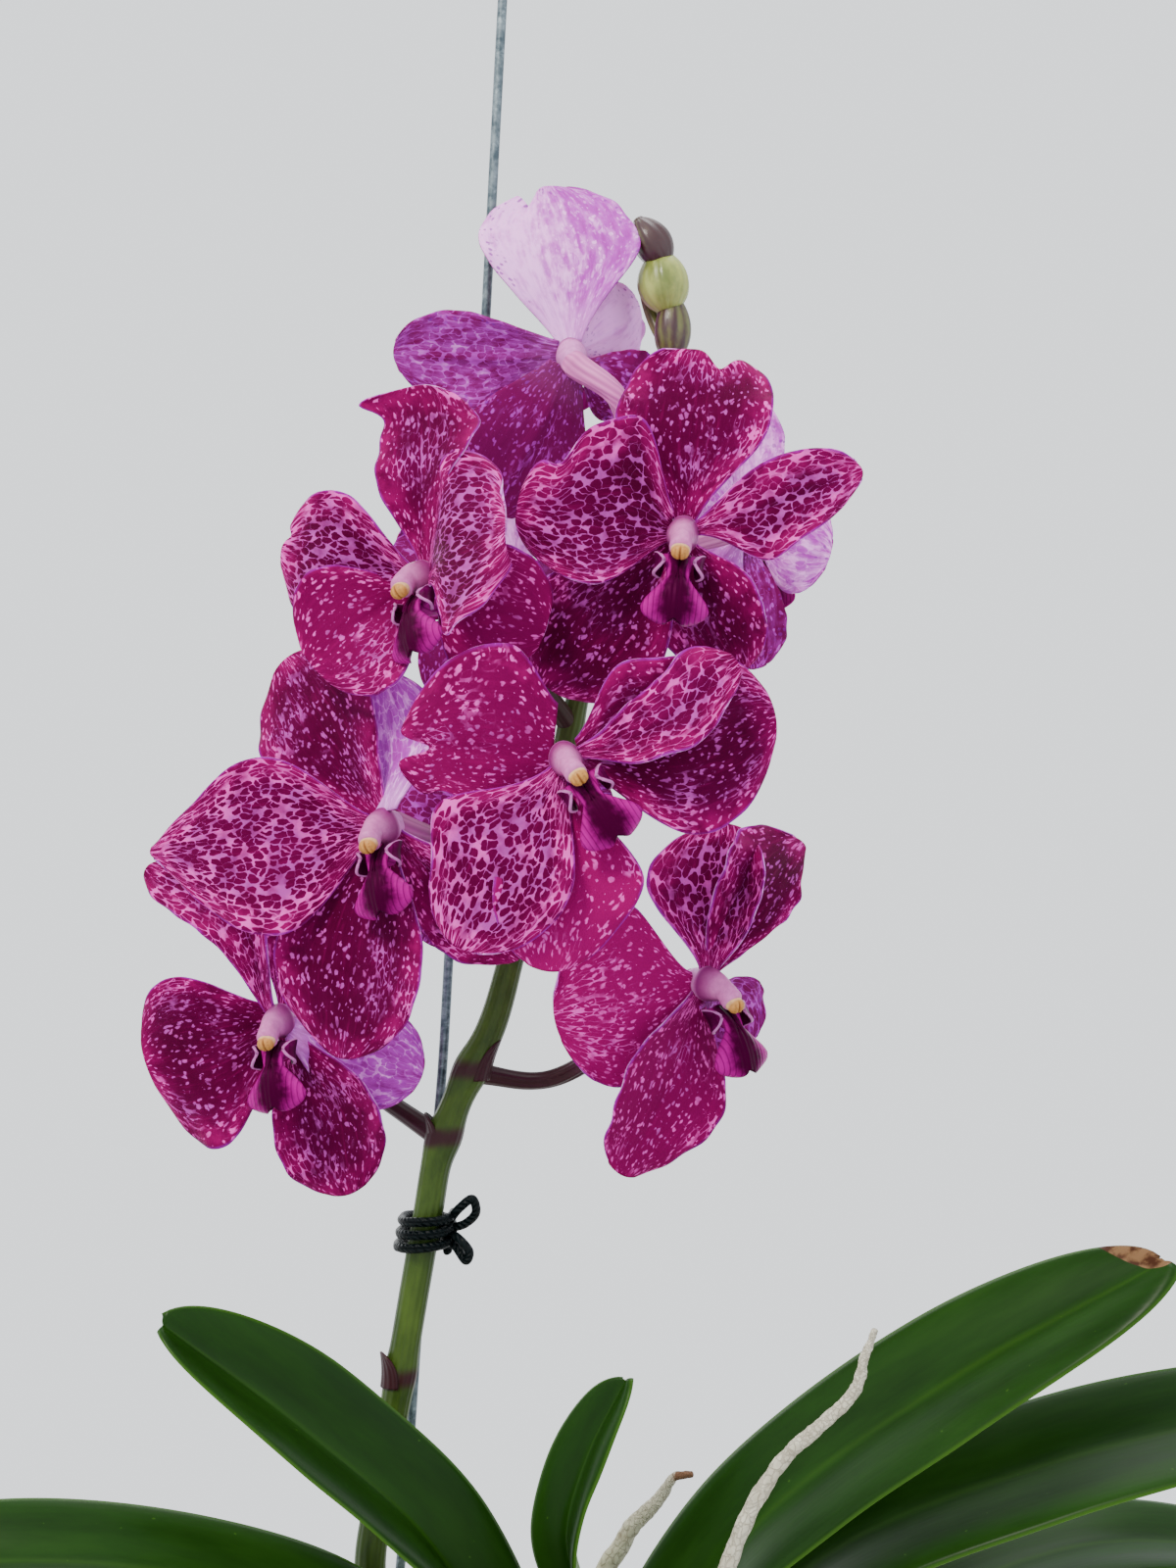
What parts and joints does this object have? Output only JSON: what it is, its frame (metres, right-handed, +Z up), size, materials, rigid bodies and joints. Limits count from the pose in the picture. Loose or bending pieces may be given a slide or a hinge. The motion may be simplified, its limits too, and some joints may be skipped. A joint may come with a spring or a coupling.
{
  "type": "potted vanda orchid",
  "caption": "Vanda orchid in a plain clay pot of bark, its flower spike tied to a wire and carrying spotted magenta blooms over strap leaves.",
  "frame": {"origin": "centre of the pot's flat underside", "axes": "+Z up, along the plant's height; the blooms' side is -Y and +X is to the right seen from there"},
  "size_m": [0.3823, 0.1739, 0.6035],
  "materials": {
    "clay": "unglazed fired clay, dusty, with pale mineral bloom",
    "bark": "rough chipped bark",
    "stem": "waxy green plant stem, maroon on the flower stalks and bracts",
    "bud": "waxy olive and maroon buds",
    "leaf": "thick leathery dark green leaf with a waxy gloss",
    "root": "grey-white corky root skin",
    "petal": "satin petal, magenta cells in a pale lilac net, pale lilac backs",
    "lip": "glossy deep fuchsia",
    "column": "waxy white-lilac with an ochre cap",
    "wire": "galvanised, mottled grey",
    "tie": "dark green-black plastic-covered tie"
  },
  "bodies": {
    "root": {"pot": "clay", "bark_bed": "bark", "cane": "stem", "flower_spike": "stem", "buds": "bud", "wire_support": "wire", "tie": "tie", "leaf_left_1": "leaf", "leaf_left_2": "leaf", "leaf_left_3": "leaf", "leaf_left_4": "leaf", "leaf_centre": "leaf", "leaf_right_1": "leaf", "leaf_right_2": "leaf", "leaf_right_3": "leaf", "leaf_right_4": "leaf", "root_air_1": "root", "root_air_2": "root", "root_bark_1": "root", "root_bark_2": "root", "root_bark_3": "root", "root_bark_4": "root", "bloom_centre_petals": "petal", "bloom_centre_lip": "lip", "bloom_centre_column": "column", "bloom_right_upper_petals": "petal", "bloom_right_upper_lip": "lip", "bloom_right_upper_column": "column", "bloom_left_upper_petals": "petal", "bloom_left_upper_lip": "lip", "bloom_left_upper_column": "column", "bloom_left_middle_petals": "petal", "bloom_left_middle_lip": "lip", "bloom_left_middle_column": "column", "bloom_left_lower_petals": "petal", "bloom_left_lower_lip": "lip", "bloom_left_lower_column": "column", "bloom_right_lower_petals": "petal", "bloom_right_lower_lip": "lip", "bloom_right_lower_column": "column", "bloom_top_petals": "petal", "bloom_top_lip": "lip", "bloom_top_column": "column", "bloom_right_rear_petals": "petal", "bloom_right_rear_lip": "lip", "bloom_right_rear_column": "column", "bloom_rear_upper_petals": "petal", "bloom_rear_upper_lip": "lip", "bloom_rear_upper_column": "column", "bloom_rear_lower_petals": "petal", "bloom_rear_lower_lip": "lip", "bloom_rear_lower_column": "column"}
  },
  "joints": []
}
